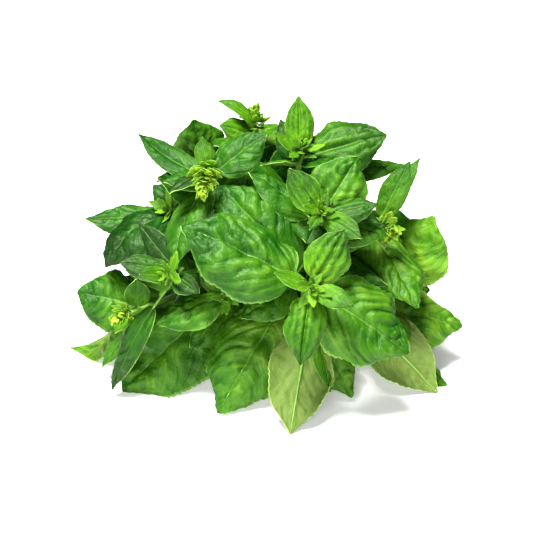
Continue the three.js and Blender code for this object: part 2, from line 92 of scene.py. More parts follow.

# %% The stems and their leaves
# the tone of each leaf is its age, with painted shade on leaves in the shadow of others and painted light on
# some dim ones
STEMS = {
    "front": dict(
        cut=(0, 158, 8.2), tip=(24, -75, 83), points=(0.05, -0.87, 0.5),
        thickness=4, ends="shoot", pairs=[66], leaves=[
            leaf(3, (4, -76, 93), (0.1, -0.5, 0.8), 10, 25, 10, 30, 0.52),
            leaf(3, (46, -85, 78), (0.1, -0.7, 0.7), 13, 25, 10, 30, 0.46),
            leaf(8, (42, -56, 108), (0.1, -0.9, 0.4), 26, 25, 12, 45, 0.44),
            leaf(8, (18, -93, 46), (0, -0.7, 0.7), 25, 40, 38, 60, 0.36),
            leaf(17, (-46, -48, 106), (-0.1, -0.5, 0.85), 56, 30, 22, 65, 0.37),
            leaf(17, (77, -76, 42), (0.2, -0.75, 0.65), 54, 30, 20, 60, 0.49),
            leaf(38, (-27, -13, 112), (-0.1, -0.6, 0.8), 60, 80, 14, 60, 0.32),
            leaf(60, (-27, -72, 0), (-0.1, -0.8, 0.6), 57, 50, 14, 60, 0.54, stalk=0.25, swell=0.38),
            leaf(50, (-14, -52, 50), (0, -0.6, 0.8), 26, 40, 14, 50, 0.45),
        ]),
    "top_front": dict(
        cut=(9, 153, 8.2), tip=(30, -42, 111), points=(0.1, -0.7, 0.7),
        thickness=4, ends="shoot", pairs=[46, 72], leaves=[
            leaf(4, (12, -29, 131), (-0.2, -0.7, 0.6), 18, 20, 15, 30, 0.36),
            leaf(4, (51, -58, 104), (0.1, -0.8, 0.6), 14, 25, 15, 30, 0.38),
            leaf(2, (23, -56, 108), (0, -0.8, 0.7), 6, 20, 10, 20, 0.46),
            leaf(10, (50, -15, 131), (0.2, -0.7, 0.7), 34, 25, 14, 40, 0.43),
            leaf(10, (61, -34, 112), (0.1, -0.3, 1), 22, 30, 14, 50, 0.2, swell=0.5),
            leaf(16, (22, -44, 93), (0, -0.8, 0.7), 24, 30, 14, 40, 0.3),
            leaf(26, (66, -36, 93), (0.2, -0.4, 0.9), 28, 50, 14, 60, 0.5),
            leaf(26, (-10, -14, 121), (0, -0.1, 1), 28, 40, 14, 60, 0.36),
        ]),
    "top": dict(
        cut=(7, 150, 20.4), tip=(20, 8, 125), points=(0.1, -0.3, 0.95),
        thickness=3.6, ends="shoot", pairs=[44, 66], leaves=[
            leaf(6, (18, 22, 151), (0, -0.9, 0.4), 17, 10, 15, 30, 0.43),
            leaf(8, (68, 17, 129), (0, -0.65, 0.75), 37, 25, 14, 50, 0.28, swell=0.5, young=0.7),
            leaf(4, (4, 8, 135), (0.3, -0.4, 0.8), 9, 20, 10, 30, 0.48),
            leaf(14, (-3, -13, 125), (0, 0.6, 0.8), 16, 25, 14, 30, 0.5),
            leaf(14, (43, -10, 125), (0.1, 0.1, 1), 18, 30, 14, 50, 0.26),
            leaf(16, (8, 29, 133), (0, -0.8, 0.7), 16, 30, 14, 50, 0.15),
            leaf(27, (80, 22, 107), (0, -0.3, 1), 22, 30, 14, 50, 0.55),
        ]),
    "top_back": dict(
        cut=(3, 155, 14.6), tip=(-6, 42, 123), points=(-0.05, 0.15, 1),
        thickness=3.8, ends="bud", pairs=[32, 54, 78], leaves=[
            leaf(5, (-29, 42, 139), (0.1, -0.3, 1), 10, 100, 14, 30, 0.44),
            leaf(9, (-27, 32, 128), (-0.2, -0.6, 0.8), 20, 50, 14, 50, 0.52),
            leaf(9, (11, 35, 126), (0.3, 0, 1), 15, 40, 14, 50, 0.4),
            leaf(16, (-30, 15, 123), (0, -0.1, 1), 30, 45, 14, 60, 0.5),
            leaf(16, (4, 76, 108), (0, 0.3, 1), 28, 45, 14, 60, 0.58),
        ]),
    "upper_left": dict(
        cut=(0, 146, 20.4), tip=(-33, -20, 126), points=(-0.1, -0.75, 0.65), nods=(-0.1, -0.95, -0.3),
        thickness=3.6, ends="spike", pairs=[52, 76], leaves=[
            leaf(16, (-72, 12, 132), (0.2, -0.5, 0.8), 18, -50, 35, 30, 0.33),
            leaf(14, (0, 2, 137), (-0.1, -0.6, 0.8), 26, 20, 14, 45, 0.31),
            leaf(8, (-36, -6, 139), (0, -0.8, 0.6), 12, 30, 10, 40, 0.42),
            leaf(8, (-53, -32, 117), (-0.3, 0, 1), 14, 30, 30, 30, 0.02),
            leaf(24, (-50, -46, 79), (-0.6, -0.6, 0.55), 29, 70, 14, 40, 0.4, swell=0.4),
            leaf(22, (-57, -16, 116), (-0.3, -0.3, 0.9), 20, 40, 14, 50, 0.41),
        ]),
    "left": dict(
        cut=(-9, 160, 8.2), tip=(-54, -50, 76), points=(-0.5, -0.8, 0.3),
        thickness=4, ends="shoot", pairs=[34, 62], leaves=[
            leaf(3, (-69, -57, 81), (-0.1, -0.7, 0.7), 10, 25, 12, 30, 0.36),
            leaf(7, (-81, -44, 81), (-0.1, -0.5, 0.9), 17, 25, 14, 40, 0.1),
            leaf(7, (-37, -59, 70), (0.2, -0.6, 0.7), 17, 30, 14, 40, 0.06),
            leaf(12, (-71, -18, 91), (-0.5, -0.7, 0.4), 16, 20, 14, 40, 0.02),
            leaf(12, (-87, -56, 5), (-0.7, -0.6, 0.4), 19, 30, 35, 40, 0.12, stalk=0.3),
        ]),
    "low_left": dict(
        cut=(-13, 157, 2.2), tip=(-78, -37, 43), points=(-0.6, -0.75, 0.1),
        thickness=4.4, ends="bud", pairs=[42, 72], leaves=[
            leaf(9, (-73, -33, 64), (0, -0.9, 0.5), 15, 20, 20, 30, 0.4),
            leaf(15, (-108, -21, 48), (-0.2, -0.7, 0.7), 41, 35, 14, 60, 0.42),
            leaf(3, (-84, -55, 42), (-0.2, -0.6, 0.7), 8, 20, 10, 30, 0.42),
            leaf(17, (-116, -5, -7), (-0.1, -0.2, 1), 26, -30, 14, 30, 0.75),
            leaf(17, (-94, -38, 8), (-0.5, -0.6, 0.6), 15, 20, 40, 30, 0.58),
        ]),
    "low_front_left": dict(
        cut=(-5, 154, 14.6), tip=(-22, -55, 66), points=(-0.2, -0.85, 0.5),
        thickness=3.8, ends="shoot", pairs=[48, 78], leaves=[
            leaf(10, (-60, -56, 48), (0, -0.2, 1), 30, 30, 14, 60, 0.39),
            leaf(56, (-82, -51, -1), (-0.15, -0.6, 0.8), 60, 45, 14, 50, 0.47, stalk=0.28, swell=0.3),
        ]),
    "low_front": dict(
        cut=(-4.6, 162, 2.2), tip=(26, -55, 47), points=(0.15, -0.95, 0.25),
        thickness=4.4, ends="shoot", pairs=[44, 74], leaves=[
            leaf(12, (13, -93, 1), (0, 0.8, -0.6), 37, -20, 14, 30, 0.05, swell=0.3),
            leaf(12, (35, -78, 18), (0.5, -0.6, 0.6), 14, 30, 14, 50, 0.56),
            leaf(26, (48, -61, 3), (0.2, -0.7, 0.6), 32, 40, 14, 60, 0.65),
        ]),
    "low_right": dict(
        cut=(3.4, 156, 2.2), tip=(58, -38, 44), points=(0.5, -0.85, 0.2),
        thickness=4.4, ends="shoot", pairs=[52, 80], leaves=[
            leaf(14, (113, -18, 23), (0.3, -0.5, 0.8), 44, 30, 14, 50, 0.66, swell=0.5),
            leaf(20, (97, -53, 1), (0, 0.7, -0.7), 36, -20, 14, 30, 0.02, swell=0.45),
            leaf(26, (103, -45, -5), (0, -0.1, 1), 42, 15, 14, 40, 0.6),
        ]),
    "right": dict(
        cut=(11, 147, 14.6), tip=(67, -15, 87), points=(0.3, -0.9, 0.3),
        thickness=3.8, ends="bud", pairs=[50, 76], leaves=[
            leaf(12, (81, 8, 117), (-0.2, -0.8, 0.6), 17, 15, 15, 40, 0.38),
            leaf(14, (88, 22, 112), (-0.1, -0.2, 1), 14, 20, 14, 30, 0.51),
            leaf(30, (84, -46, 53), (0.3, -0.6, 0.8), 38, 35, 14, 50, 0.52, swell=0.6),
        ]),
    "far_left": dict(
        cut=(-12.6, 151, 14.6), tip=(-55, 0, 90), points=(-0.6, -0.5, 0.6),
        thickness=3.8, ends="shoot", pairs=[35, 59], leaves=[
            leaf(13, (-104, 4, 82), (-0.1, -0.35, 0.9), 27, 6, 14, 50, 0.31),
            leaf(12, (-91, -23, 66), (-0.4, -0.3, 0.85), 50, 90, 14, 60, 0.09, swell=0.5),
        ]),
    "back_left": dict(
        cut=(-7, 148, 20.4), tip=(-42, 48, 98), points=(-0.5, 0.2, 0.85),
        thickness=3.6, ends="shoot", pairs=[8, 26, 48], leaves=[
            leaf(14, (-42, 36, 130), (0, -0.7, 0.7), 37, 30, 14, 60, 0.5),
        ]),
    "back_right": dict(
        cut=(11.6, 160, 2.2), tip=(86, 2, 37), points=(0.9, -0.3, 0.25),
        thickness=4.4, ends="shoot", pairs=[28, 50, 74], leaves=[
            leaf(6, (96, 6, 83), (-0.3, -0.6, 0.7), 43, 40, 10, 40, 0.66, swell=0.4, young=0.35),
        ]),
}
print("stems:", len(STEMS), "leaves placed one by one:", sum(len(stem["leaves"]) for stem in STEMS.values()))

# %% [markdown]
# ## The curve of a stem
#
# A cut stem is stiff and nearly straight at its thick end, and bends only toward its soft tip. Four points
# steer each one: its cut end, the end of its straight run, a point it comes in from, and its tip. Blender's
# own curves could draw it too, but plain formulas also say where the stem is and which way it grows at any
# place, and the leaves need that. Distances are measured along the curve, so "17 mm below the tip" means
# 17 mm of stem. At any place the stem has a frame of three square directions, which its leaves and its flat
# sides follow.

# %% Curves and frames
STEM_STRAIGHT_RUN = 95
STEM_DRAWN_IN = 0.3  # how much nearer to the middle of the bunch the straight run ends
STEM_LAST_BEND = 55
STEPS = np.linspace(0, 1, 201)


def unit(v):
    return v / np.linalg.norm(v, axis=-1, keepdims=True)


class StemPath:
    def __init__(self, stem):
        start, end = np.array(stem["cut"], float), np.array(stem["tip"], float)
        straight = start + [-STEM_DRAWN_IN * start[0], -STEM_STRAIGHT_RUN, 0]
        approach = end - STEM_LAST_BEND * unit(np.array(stem["points"], float))
        self.controls = np.array([start, straight, approach, end])
        points = self.point(STEPS)
        self.lengths = np.r_[0, np.cumsum(np.linalg.norm(np.diff(points, axis=0), axis=1))]
        self.length = self.lengths[-1]

    def point(self, t):
        t = np.atleast_1d(t)[:, None]
        a, b, c, d = self.controls
        return (1 - t) ** 3 * a + 3 * t * (1 - t) ** 2 * b + 3 * t * t * (1 - t) * c + t ** 3 * d

    def frame(self, below):
        """The place, the way the stem grows, and two square directions, at distances below the tip."""
        share = np.clip(1 - np.atleast_1d(below) / self.length, 0, 1)
        t = np.interp(share * self.length, self.lengths, STEPS)
        ahead = self.point(np.minimum(t + 1e-4, 1)) - self.point(np.maximum(t - 1e-4, 0))
        along = unit(ahead)
        side = unit(np.array([1.0, 0, 0]) - along * along[:, :1])
        return self.point(t), along, side, np.cross(along, side)


PATHS = {name: StemPath(stem) for name, stem in STEMS.items()}
print("stem lengths in mm:", {name: round(path.length) for name, path in PATHS.items()})

# %% [markdown]
# ## The form of a leaf
#
# A basil leaf is spoon-shaped: it droops along its rib, rises from the rib to both sides and turns its
# margins down again. A flat grid could be bent to that by a stack of modifiers, but a formula puts each leaf
# exactly where its solid is. Its middle surface is a bent strip. The rib is an arc between root and tip, and
# across it each half is an arc too. The width follows the outline of a basil leaf, broad below the middle
# with a short point.

# %% The middle surface of a leaf
STALK_HALF_WIDTH = 1.0
TIP_HALF_WIDTH = 0.5


def smooth(low, high, x):
    """Rises from 0 at low to 1 at high, gently at both ends."""
    t = np.clip((x - low) / (high - low), 0, 1)
    return t * t * (3 - 2 * t)


def outline(v):
    """The width at each share of the blade's length, as a share of its greatest width."""
    return np.sin(np.pi * v ** 0.78).clip(0) ** (0.55 + 0.2 * v) * (1 - 0.3 * smooth(0.75, 0.97, v))


def leaf_frame(spec):
    """The leaf's reach from root to tip, the way it points, the way it faces and the way to its side."""
    chord = spec["tip"] - spec["root"]
    ahead = unit(chord)
    normal = unit(spec["face"] - ahead * (spec["face"] @ ahead))
    return np.linalg.norm(chord), ahead, normal, np.cross(ahead, normal)


def blade(spec, rise, across):
    """Points of the middle surface and the way its upper face looks there, with the half width in mm."""
    reach, ahead, normal, side = leaf_frame(spec)
    turn = math.radians(spec["droop"]) or 0.01
    radius = reach / (2 * math.sin(turn / 2))
    start = ahead * math.cos(turn / 2) + normal * math.sin(turn / 2)
    top = normal * math.cos(turn / 2) - ahead * math.sin(turn / 2)
    angle = (turn * rise)[:, None]
    at = spec["root"] + radius * (start * np.sin(angle) + top * (np.cos(angle) - 1))
    up = top * np.cos(angle) + start * np.sin(angle)
    v = np.clip((rise - spec["stalk"]) / (1 - spec["stalk"]), 0, 1)
    least = STALK_HALF_WIDTH + (TIP_HALF_WIDTH - STALK_HALF_WIDTH) * v
    half = np.maximum(least, spec["width"] / 2 * outline(v))
    spread = np.minimum(1, v * 5)
    rising = math.radians(spec["fold"]) * spread
    curl = np.maximum(math.radians(spec["fold"] + spec["cup"]) * spread * (1 - 0.5 * smooth(0.8, 1, v)), 0.01)
    lean = rising - curl * np.abs(across)
    out = half * (np.sin(rising) - np.sin(lean)) / curl * np.sign(across)
    lift = half * (np.cos(lean) - np.cos(rising)) / curl
    at = at + side * out[:, None] + up * lift[:, None]
    up = up * np.cos(lean)[:, None] - side * (np.sign(across) * np.sin(lean))[:, None]
    return at, up, half


print("a blade is widest at", round(float(STEPS[np.argmax(outline(STEPS))]), 2), "of its length")

# %% [markdown]
# ## Which way the lower leaves turned
#
# Lower down, the pairs of leaves had to find room between their neighbours, so each one turned aside a
# little, or stayed smaller. Finding room again would take long and might end otherwise than in the solids.
# But the solids hold the answer: of all the ways a leaf might have turned, the one it took has its tip
# exactly on a corner of the solid. A k-d tree finds the nearest corner at once.

# %% Find the turns in the solids
TURNS = [dict(yaw=yaw, pitch=pitch, size=size)
         for size in (1, 0.85, 0.7, 0.55)
         for yaw in (0, 25, -25, 50, -50)
         for pitch in (55, 75, 35, 95)]
CAD_BLADE_THICKNESS = 0.8
SAME_CORNER = 2e-5  # metres
PAIRED_SIDE_VEINS = 4


def paired_leaf(path, below, quarter, turn):
    at, along, side, up = (a[0] for a in path.frame(below))
    about, opened = math.radians(quarter * 90 + turn["yaw"]), math.radians(turn["pitch"])
    out = side * math.cos(about) + up * math.sin(about)
    length = min(58, 24 + below * 0.5) * turn["size"]
    tip = at + length * (along * math.cos(opened) + out * math.sin(opened))
    face = along * math.sin(opened) - out * math.cos(opened)
    return dict(below=below, root=at, tip=tip, face=face, width=length * 0.6, droop=40, fold=14, cup=45,
                stalk=STALK_SHARE, tone=0.3 + 0.25 * random.random(), veins=PAIRED_SIDE_VEINS, swell=1.0,
                young=0)


def corner_tree(name):
    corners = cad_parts[f"sprig_{name}"].data.vertices
    tree = kdtree.KDTree(len(corners))
    for i, corner in enumerate(corners):
        tree.insert(corner.co, i)
    tree.balance()
    return tree


def grow_leaves(name, stem, path):
    leaves = [dict(spec, root=path.frame(spec["below"])[0][0], placed=True) for spec in stem["leaves"]]
    tree, missing = corner_tree(name), 0
    for step, below in enumerate(stem["pairs"]):
        for half in (0, 2):
            for turn in TURNS:
                spec = paired_leaf(path, below, step % 2 + half, turn)
                tip, up, _ = blade(spec, np.array([1.0]), np.array([0.0]))
                corners = [(tip + up * sign * CAD_BLADE_THICKNESS / 2 - CENTRE)[0] * MM for sign in (1, -1)]
                if all(tree.find(corner)[2] < SAME_CORNER for corner in corners):
                    leaves.append(spec)
                    break
            else:
                missing += 1
    print(name, "leaves:", len(leaves), "with no room:", missing)
    return leaves


LEAVES = {name: grow_leaves(name, stem, PATHS[name]) for name, stem in STEMS.items()}

# %% [markdown]
# ## The surface of a leaf
#
# A basil blade is quilted. The side veins are sunken, the green tissue between them swells up, and smaller
# cross veins break up the swellings. The side veins leave the rib at a low angle and arch toward the tip,
# and the rib lies in a valley of its own. Young leaves still show the lengthwise pleats of the bud, and a
# blade that its neighbours press gets creases, with small puckers toward its tip. The margin waves and
# carries shallow teeth that point to the tip.
#
# A displacement texture wouldn't know where the veins are, and sculpting 119 leaves by hand would take days.
# So each of these forms is a short function that gives its height in millimetres at every point of a leaf.

# %% Veins and swellings
def side_veins(spec, v, across, wander):
    """A count that passes a whole number at each side vein. wander, from -1 to 1, makes them uneven."""
    t = np.abs(across)
    climb = 0.7 * t ** 1.2
    at_rib = (v - climb) / (1 - climb)
    at_rib = np.where(at_rib < 0, at_rib / (1 - 1.8 * at_rib), at_rib)
    shift = np.where(across < 0, 0.35, -0.1) * smooth(0, 0.15, t)
    return at_rib * spec["veins"] + 0.5 + shift + 0.3 * wander


def quilting(spec, v, across, count, wander, patchy):
    """The swellings between the veins, in mm. patchy, from -1 to 1, makes some of them high and some flat."""
    t = np.abs(across)
    ridges = np.abs(np.sin(np.pi * count)) ** 0.5
    cross = t * (1.2 + spec["width"] / 18) + 0.37 * np.floor(count) + wander
    cells = np.abs(np.sin(np.pi * cross)) ** 0.5
    swells = ridges * (0.7 + 0.3 * cells) - 0.6
    inner = smooth(0, 0.2, t) * (1 - 0.8 * smooth(0.6, 1.0, t)) * smooth(0, 0.1, v) * (1 - smooth(0.85, 1, v))
    deep = spec["swell"] * (0.45 + 0.033 * spec["width"]) * (1 - 0.5 * spec["young"])
    return deep * inner * swells * (0.95 + 0.9 * patchy).clip(0.25)


def rib_valley(spec, v, across):
    """The rib lies in a narrow valley, this many mm deep."""
    off_rib = np.abs(across) * spec["width"] / 2 * outline(v)
    deep = 0.15 + 0.012 * spec["width"]
    return deep * np.exp(-((off_rib / 1.4) ** 2)) * smooth(0, 0.1, v) * (1 - smooth(0.7, 1, v))


big = LEAVES["front"][4]
print("depth of the rib in a big leaf, in mm:", rib_valley(big, np.array([0.3]), np.array([0.0])).round(2))

# %% Creases, pleats and fine ridges
def rough(points, size_mm, seed):
    """Soft noise from about -1 to 1, with bumps of this size."""
    return 1.6 * np.array([noise.noise(Vector(p / size_mm) + Vector((seed, 0, 0))) for p in points])


def creases(spec, at, v, seed):
    """Irregular folds, in mm, such as neighbours press into a thin blade, with puckers toward its tip."""
    size = spec["width"]
    folds = 1 - 2 * np.abs(rough(at, 5 + size * 0.25, seed + 20)).clip(0, 1)
    puckers = (1 - 2 * np.abs(rough(at, 3.2, seed + 140)).clip(0, 1)) * smooth(0.45, 0.85, v)
    return 0.018 * size * folds + 0.012 * size * rough(at, 2 + size * 0.07, seed) + 0.007 * size * puckers


def pleats(spec, v, across, wander):
    """Young leaves keep the folds of the bud as lengthwise grooves, in mm."""
    t = np.abs(across)
    ends = smooth(0, 0.15, v) * (1 - smooth(0.65, 1, v)) * (1 - 0.6 * smooth(0.7, 1, t))
    grooves = -np.cos(2 * np.pi * (2.2 * t * (1.25 - 0.5 * np.abs(v - 0.4)) + 0.12 * wander))
    return min(spec["young"], slimness(spec["width"])) * 0.03 * spec["width"] * ends * grooves


def strokes(spec, across, count, seed):
    """Fine ridges that run beside the side veins, in mm."""
    beside = np.column_stack([count * 2.4, np.abs(across) * 2.2 + 9 * (across < 0), np.zeros(len(count))])
    return 0.013 * spec["width"] * rough(beside, 1, seed + 110)


print("leaves with pleats:", sum(spec["young"] > 0 for leaves in LEAVES.values() for spec in leaves))

# %% The margin
TOOTH_SPACING = 4.2


def margin_teeth(spec, v, across, reach):
    """How far the margin is cut back from its outline, in mm. Each tooth leans toward the tip."""
    phase = (v * reach / TOOTH_SPACING) % 1
    return 0.014 * spec["width"] * smooth(0.75, 1, np.abs(across)) * (0.5 - smooth(0.0, 0.85, phase))


def margin_waves(spec, v, across, seed):
    """How far the margin waves up and down, in mm, out of step on the two sides."""
    turns = 1.2 + spec["width"] / 40
    return 0.026 * spec["width"] * np.abs(across) ** 3 * np.sin(
        2 * np.pi * turns * v + seed + np.where(across < 0, 2.1, 0))


print("teeth along each margin of a big leaf:", round(leaf_frame(big)[0] / TOOTH_SPACING))

# %% [markdown]
# ## One leaf as a fine grid
#
# A real blade is one thin skin, so it is a grid with one layer of faces. The operator makes it flat, and its
# points then take the form of the leaf and move along its normal by all the heights together. The points also
# keep what the finishes need: "leaf" holds the distance from the rib in millimetres, the count of side veins
# and the share of the length, "tone" how pale the leaf is there, with painted light on its swellings and
# painted shade in its valleys, and "young" how fresh. A UV map has the two margins at 0 and 1. With these a
# finish follows the veins, as no pattern in space could.

# %% Flat grids, and what the finishes need
def new_grid(bm, columns, rows):
    """The points of a flat grid, their places from -1 to 1 across it, and from 0 to 1 along it."""
    grid = bmesh.ops.create_grid(bm, x_segments=columns, y_segments=rows, size=1)["verts"]
    flat = np.array([vert.co for vert in grid])
    return grid, flat[:, 0], (flat[:, 1] + 1) / 2


def mark_leaf(bm, grid, places, marks, tones, young, uvs):
    """Moves the grid to its places and writes down what the finishes need."""
    layers = bm.verts.layers
    mark, tone, youth = layers.float_vector["leaf"], layers.float["tone"], layers.float["young"]
    uv = bm.loops.layers.uv["LeafUV"]
    for vert, place, value, shade, corner in zip(grid, (places - CENTRE) * MM, marks, tones, uvs):
        vert.co, vert[mark], vert[tone], vert[youth] = place, value, shade, young
        for loop in vert.link_loops:
            loop[uv].uv = corner


def lift_leaf(spec, at, v, across, seed):
    """How far the surface stands off its plain form in mm, its count of side veins, and how high it swells
    there from -1 to 1, which lightens the tone on crests and darkens it in valleys.
    """
    size = spec["width"]
    wander, patchy = rough(at, 4 + size * 0.15, seed + 50), rough(at, 5 + size * 0.3, seed + 80)
    count = side_veins(spec, v, across, wander)
    calm = smooth(0, 0.15, v) * (1 - 0.8 * smooth(0.85, 1, v))
    bumps = quilting(spec, v, across, count, wander, patchy) + creases(spec, at, v, seed) * calm
    bumps += pleats(spec, v, across, wander) + strokes(spec, across, count, seed) * calm
    lift = bumps - rib_valley(spec, v, across) + margin_waves(spec, v, across, seed)
    return lift, count, (bumps / (0.4 + 0.02 * size)).clip(-1, 1)


line, half_way = np.linspace(-0.9, 0.9, 61), np.full(61, 0.5)
heights = lift_leaf(big, blade(big, half_way, line)[0], half_way, line, seed=1)[0]
print("heights across a big leaf, in mm:", heights.min().round(1), "to", heights.max().round(1))

# %% Make a leaf
LEAF_ABOVE_TABLE = 0.35


def add_leaf(bm, spec, step_mm, seed):
    """The blade of one leaf. Its tone falls toward the tip. It rises on the swellings and falls in the
    valleys, partly as paler stretched tissue and partly as painted light on the crests and painted shade in
    the valleys.
    """
    reach = np.linalg.norm(spec["tip"] - spec["root"])
    rows = int(np.clip(reach * (1 - spec["stalk"]) / step_mm, 8, 60))
    columns = 2 * int(np.clip(spec["width"] / step_mm / 2, 3, 24))
    grid, across, v = new_grid(bm, columns, rows)
    at, up, half = blade(spec, spec["stalk"] + (1 - spec["stalk"]) * v, across)
    side = leaf_frame(spec)[3]
    lift, count, swell_tint_and_shading = lift_leaf(spec, at, v, across, seed)
    at = at - side * (np.sign(across) * margin_teeth(spec, v, across, reach))[:, None]
    at = at + up * lift[:, None]
    at[:, 2] = np.maximum(at[:, 2], LEAF_ABOVE_TABLE)
    # painted light on the crests and painted shade in the valleys, besides the paler stretched tissue of the
    # swellings
    tones = spec["tone"] + (0.22 + 0.2 * spec["young"]) * (0.45 - v) + 0.12 * swell_tint_and_shading
    marks = np.column_stack([across * half, count, v])
    mark_leaf(bm, grid, at, marks, tones, spec["young"], np.column_stack([0.5 + 0.5 * across, v]))


print("leaves to make:", sum(len(leaves) for leaves in LEAVES.values()))

# %% [markdown]
# ## Tubes for stems, stalks and ribs
#
# A basil stem is square, with rounded corners and hollow sides, and swells a little where leaves grow. A
# leaf stalk is round, and runs on under the blade as its rib. A curve with a bevel would give both only one
# section and one thickness, so each is a grid wrapped round its path. Its seam is joined at once, and its
# ends are closed when the sprig is put together.

# %% A tube along a curve
STEM_ABOVE_TABLE = 0.05


def add_tube(bm, centres, side, up, radii, section):
    """section gives the radius for each angle round the curve, as a share of the radius there."""
    around, rings = len(section), len(centres)
    grid, across, rise = new_grid(bm, around, rings - 1)
    k = np.rint((across + 1) / 2 * around).astype(int) % around
    ring = np.rint(rise * (rings - 1)).astype(int)
    angle = 2 * np.pi * k / around
    radius = (radii[ring] * section[k])[:, None]
    at = centres[ring] + radius * (side[ring] * np.cos(angle)[:, None] + up[ring] * np.sin(angle)[:, None])
    at[:, 2] = np.maximum(at[:, 2], STEM_ABOVE_TABLE)
    for vert, place in zip(grid, (at - CENTRE) * MM):
        vert.co = place
    bmesh.ops.remove_doubles(bm, verts=grid, dist=1e-7)


def square_section(around=16):
    angle = 2 * np.pi * np.arange(around) / around
    return 1.17 - 0.2 * np.cos(4 * angle)


print("a stem's reach at its sides and its corners:", square_section().min(), square_section().max())

# %% Stems and stalks
STEM_RINGS, STALK_RINGS = 60, 24
STEM_TIP_RADIUS = 1.1
JOINT_SWELLING, JOINT_REACH = 0.22, 2.2  # as a share of the radius, and in mm along the stem


def add_stem(bm, stem, path, leaves):
    below = np.linspace(path.length, 0, STEM_RINGS)
    centres, _, side, up = path.frame(below)
    share = 1 - below / path.length
    radii = stem["thickness"] / 2 * (1 - share) + STEM_TIP_RADIUS * share
    for joint in sorted({spec["below"] for spec in leaves}):
        radii = radii * (1 + JOINT_SWELLING * np.exp(-(((below - joint) / JOINT_REACH) ** 2)))
    add_tube(bm, centres, side, up, radii, square_section())


def add_stalk(bm, spec, seed):
    """The stalk runs on under the blade as its rib, thinning to nothing at the tip."""
    rise = np.linspace(0, 0.97, STALK_RINGS)
    middle = np.zeros(len(rise))
    at, up, _ = blade(spec, rise, middle)
    v = np.clip((rise - spec["stalk"]) / (1 - spec["stalk"]), 0, 1)
    radii = (0.5 + 0.012 * spec["width"]) * (1 - v) ** 0.8 + 0.1
    ahead = unit(np.gradient(at, axis=0))
    lift = lift_leaf(spec, at, v, middle, seed)[0] - 0.95 * radii
    at = at + up * (lift * smooth(0, 0.05, v))[:, None]
    add_tube(bm, at, np.cross(ahead, up), up, radii, np.ones(6))


joints = sum(len({spec["below"] for spec in leaves}) for leaves in LEAVES.values())
print("places where leaves grow, each a joint in its stem:", joints)

# %% [markdown]
# ## Growing tips and flower buds
#
# Each stem ends either in a tight rosette, ten pairs of tiny new leaves that open less and less toward the
# middle, or in a young flower head, where whorls of two pointed bracts and ten small green cups crowd
# together. Copies of one leaf, scattered by a modifier, would all look alike. So each is a mesh of 48 faces
# with its own turn and size, built from the same blade as the large leaves, and keeps a leaf's fold and curl.

# %% One tiny leaf
TINY_COLUMNS, TINY_ROWS = 6, 8


def add_small_leaf(bm, root, way, face, length, width, tone, fold=30, cup=25):
    """A leaf of a few millimetres, folded along its rib, with a jagged margin."""
    spec = dict(root=root, tip=root + way * length, face=face, width=width, droop=-35, fold=fold, cup=cup,
                stalk=0.0, tone=tone)
    grid, across, v = new_grid(bm, TINY_COLUMNS, TINY_ROWS)
    row = np.rint(v * TINY_ROWS).astype(int)
    jag = 1 + 0.16 * np.where(row % 2, 1, -1) * (np.abs(across) > 0.9)
    at, up, half = blade(spec, v, across)
    folds = 0.05 * width * np.cos(4 * np.pi * across) * np.sin(np.pi * v)
    out = (jag - 1)[:, None] * (half * np.sign(across))[:, None] * leaf_frame(spec)[3]
    at = at + out + up * folds[:, None]
    marks = np.column_stack([across * half, 0.5 + v * 3 - 2 * np.abs(across), v])
    # the tone falls toward the root, and rises and falls across the blade in step with its folds, as painted
    # light and shade on them
    tones = tone - 0.3 * (0.6 - v) - 0.2 * np.cos(4 * np.pi * across)
    mark_leaf(bm, grid, at, marks, tones, 1.0, np.column_stack([0.5 + 0.5 * across, v]))


def add_ring(bm, at, along, side, up, number, turn, opened, length, width, tone, rng, loose=10,
             fold=30, cup=25, radius=0.6):
    """Small leaves round a stem, opened this many degrees away from it. loose says how far they stray."""
    for k in range(number):
        about = math.radians(turn + 360 * k / number + rng.uniform(-loose, loose))
        tilt = math.radians(opened + rng.uniform(-loose, loose))
        out = side * math.cos(about) + up * math.sin(about)
        way = along * math.cos(tilt) + out * math.sin(tilt)
        face = along * math.sin(tilt) - out * math.cos(tilt)
        size = 1 + loose / 50 * rng.uniform(-1, 1)
        place = at + out * radius + along * loose / 20 * rng.uniform(-1, 1)
        add_small_leaf(bm, place, way, face, length * size, width * size, tone + rng.uniform(-0.15, 0.15),
                       fold, cup)


print("faces in a tiny leaf:", TINY_COLUMNS * TINY_ROWS)

# %% Rosettes and flower heads
# how far along the stem each pair sits, how far it is opened in degrees, and its length and width in mm
ROSETTE_PAIRS = [(-2.2, 96, 10, 5), (-1.6, 86, 11, 5.2), (-1.0, 78, 11, 5), (-0.4, 70, 10.5, 4.8),
                 (0.2, 62, 9.5, 4.4), (0.8, 52, 8.5, 3.8), (1.3, 42, 7, 3.2), (1.8, 32, 6, 2.8),
                 (2.2, 22, 5, 2.4), (2.5, 12, 4, 1.9)]
PAIR_TURN = 100  # a little more than a quarter, so that the pairs don't hide each other
WHORL_SPACING = 1.4
HEAD_HEIGHTS = {"bud": 9, "spike": 18}


def add_rosette(bm, at, along, side, up, rng):
    """Pairs from the outermost to the innermost, each paler than the last."""
    for i, (height, opened, length, width) in enumerate(ROSETTE_PAIRS):
        add_ring(bm, at + along * height, along, side, up, 2, 45 + PAIR_TURN * i, opened, length, width,
                 0.43 + 0.03 * i, rng, loose=16)


